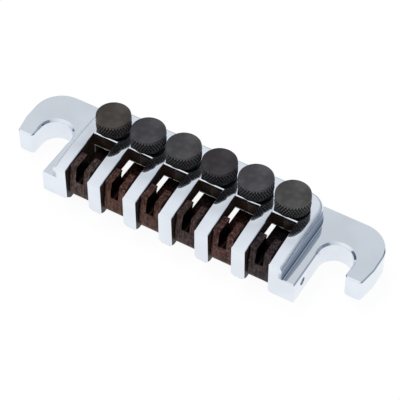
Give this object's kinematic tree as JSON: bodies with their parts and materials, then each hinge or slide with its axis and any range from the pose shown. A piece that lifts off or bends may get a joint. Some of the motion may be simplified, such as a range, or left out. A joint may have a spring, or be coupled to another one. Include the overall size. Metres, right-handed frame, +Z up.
{
  "type": "guitar stopbar tailpiece",
  "caption": "Chromed stopbar tailpiece with a forked string lever in each open pocket, rocked by a black knurled thumbscrew for fine tuning.",
  "frame": {"origin": "on the foot of the casting, at the middle of its length and depth", "axes": "+X along the bar towards the sixth pocket, -Y towards the front where the strings leave, +Z up out of the guitar's top"},
  "size_m": [0.102, 0.0264, 0.0177],
  "materials": {
    "chrome": "polished chrome plate over a zinc casting",
    "steel": "plain ground steel rod",
    "lever_brown": "dark brown plated casting, faintly mottled",
    "black_steel": "blackened machined steel",
    "knob_black": "matt black plated, knurled"
  },
  "bodies": {
    "root": {"tailpiece_body": "chrome", "pivot_shaft": "steel"},
    "lever_1": {"string_lever_1": "lever_brown"},
    "stem_1": {"tuning_screw_1": "black_steel"},
    "head_1": {"tuning_knob_1": "knob_black"},
    "lever_2": {"string_lever_2": "lever_brown"},
    "stem_2": {"tuning_screw_2": "black_steel"},
    "head_2": {"tuning_knob_2": "knob_black"},
    "lever_3": {"string_lever_3": "lever_brown"},
    "stem_3": {"tuning_screw_3": "black_steel"},
    "head_3": {"tuning_knob_3": "knob_black"},
    "lever_4": {"string_lever_4": "lever_brown"},
    "stem_4": {"tuning_screw_4": "black_steel"},
    "head_4": {"tuning_knob_4": "knob_black"},
    "lever_5": {"string_lever_5": "lever_brown"},
    "stem_5": {"tuning_screw_5": "black_steel"},
    "head_5": {"tuning_knob_5": "knob_black"},
    "lever_6": {"string_lever_6": "lever_brown"},
    "stem_6": {"tuning_screw_6": "black_steel"},
    "head_6": {"tuning_knob_6": "knob_black"}
  },
  "joints": [
    {"name": "screw_travel_1", "type": "slide", "parent": "root", "child": "stem_1", "axis": [0, 0, 1], "range_m": [-0.0003, 0.0021]},
    {"name": "knob_turn_1", "type": "hinge", "parent": "stem_1", "child": "head_1", "pos_m": [-0.026, 0.0048, 0.0135], "axis": [0, 0, 1], "range_deg": [-155, 1080]},
    {"name": "lever_rock_1", "type": "hinge", "parent": "root", "child": "lever_1", "pos_m": [-0.026, -0.0087, 0.0045], "axis": [1, 0, 0], "range_deg": [-1.3, 8.8]},
    {"name": "screw_travel_2", "type": "slide", "parent": "root", "child": "stem_2", "axis": [0, 0, 1], "range_m": [-0.0003, 0.0021]},
    {"name": "knob_turn_2", "type": "hinge", "parent": "stem_2", "child": "head_2", "pos_m": [-0.0156, 0.0048, 0.0135], "axis": [0, 0, 1], "range_deg": [-155, 1080]},
    {"name": "lever_rock_2", "type": "hinge", "parent": "root", "child": "lever_2", "pos_m": [-0.0156, -0.0087, 0.0045], "axis": [1, 0, 0], "range_deg": [-1.3, 8.8]},
    {"name": "screw_travel_3", "type": "slide", "parent": "root", "child": "stem_3", "axis": [0, 0, 1], "range_m": [-0.0003, 0.0021]},
    {"name": "knob_turn_3", "type": "hinge", "parent": "stem_3", "child": "head_3", "pos_m": [-0.0052, 0.0048, 0.0135], "axis": [0, 0, 1], "range_deg": [-155, 1080]},
    {"name": "lever_rock_3", "type": "hinge", "parent": "root", "child": "lever_3", "pos_m": [-0.0052, -0.0087, 0.0045], "axis": [1, 0, 0], "range_deg": [-1.3, 8.8]},
    {"name": "screw_travel_4", "type": "slide", "parent": "root", "child": "stem_4", "axis": [0, 0, 1], "range_m": [-0.0003, 0.0021]},
    {"name": "knob_turn_4", "type": "hinge", "parent": "stem_4", "child": "head_4", "pos_m": [0.0052, 0.0048, 0.0135], "axis": [0, 0, 1], "range_deg": [-155, 1080]},
    {"name": "lever_rock_4", "type": "hinge", "parent": "root", "child": "lever_4", "pos_m": [0.0052, -0.0087, 0.0045], "axis": [1, 0, 0], "range_deg": [-1.3, 8.8]},
    {"name": "screw_travel_5", "type": "slide", "parent": "root", "child": "stem_5", "axis": [0, 0, 1], "range_m": [-0.0003, 0.0021]},
    {"name": "knob_turn_5", "type": "hinge", "parent": "stem_5", "child": "head_5", "pos_m": [0.0156, 0.0048, 0.0135], "axis": [0, 0, 1], "range_deg": [-155, 1080]},
    {"name": "lever_rock_5", "type": "hinge", "parent": "root", "child": "lever_5", "pos_m": [0.0156, -0.0087, 0.0045], "axis": [1, 0, 0], "range_deg": [-1.3, 8.8]},
    {"name": "screw_travel_6", "type": "slide", "parent": "root", "child": "stem_6", "axis": [0, 0, 1], "range_m": [-0.0003, 0.0021]},
    {"name": "knob_turn_6", "type": "hinge", "parent": "stem_6", "child": "head_6", "pos_m": [0.026, 0.0048, 0.0135], "axis": [0, 0, 1], "range_deg": [-155, 1080]},
    {"name": "lever_rock_6", "type": "hinge", "parent": "root", "child": "lever_6", "pos_m": [0.026, -0.0087, 0.0045], "axis": [1, 0, 0], "range_deg": [-1.3, 8.8]}
  ],
  "couplings": [
    {"joint": "knob_turn_1", "follows": "screw_travel_1", "rad_per_m": 8975.9},
    {"joint": "lever_rock_1", "follows": "screw_travel_1", "rad_per_m": 72.99},
    {"joint": "knob_turn_2", "follows": "screw_travel_2", "rad_per_m": 8975.9},
    {"joint": "lever_rock_2", "follows": "screw_travel_2", "rad_per_m": 72.99},
    {"joint": "knob_turn_3", "follows": "screw_travel_3", "rad_per_m": 8975.9},
    {"joint": "lever_rock_3", "follows": "screw_travel_3", "rad_per_m": 72.99},
    {"joint": "knob_turn_4", "follows": "screw_travel_4", "rad_per_m": 8975.9},
    {"joint": "lever_rock_4", "follows": "screw_travel_4", "rad_per_m": 72.99},
    {"joint": "knob_turn_5", "follows": "screw_travel_5", "rad_per_m": 8975.9},
    {"joint": "lever_rock_5", "follows": "screw_travel_5", "rad_per_m": 72.99},
    {"joint": "knob_turn_6", "follows": "screw_travel_6", "rad_per_m": 8975.9},
    {"joint": "lever_rock_6", "follows": "screw_travel_6", "rad_per_m": 72.99}
  ]
}
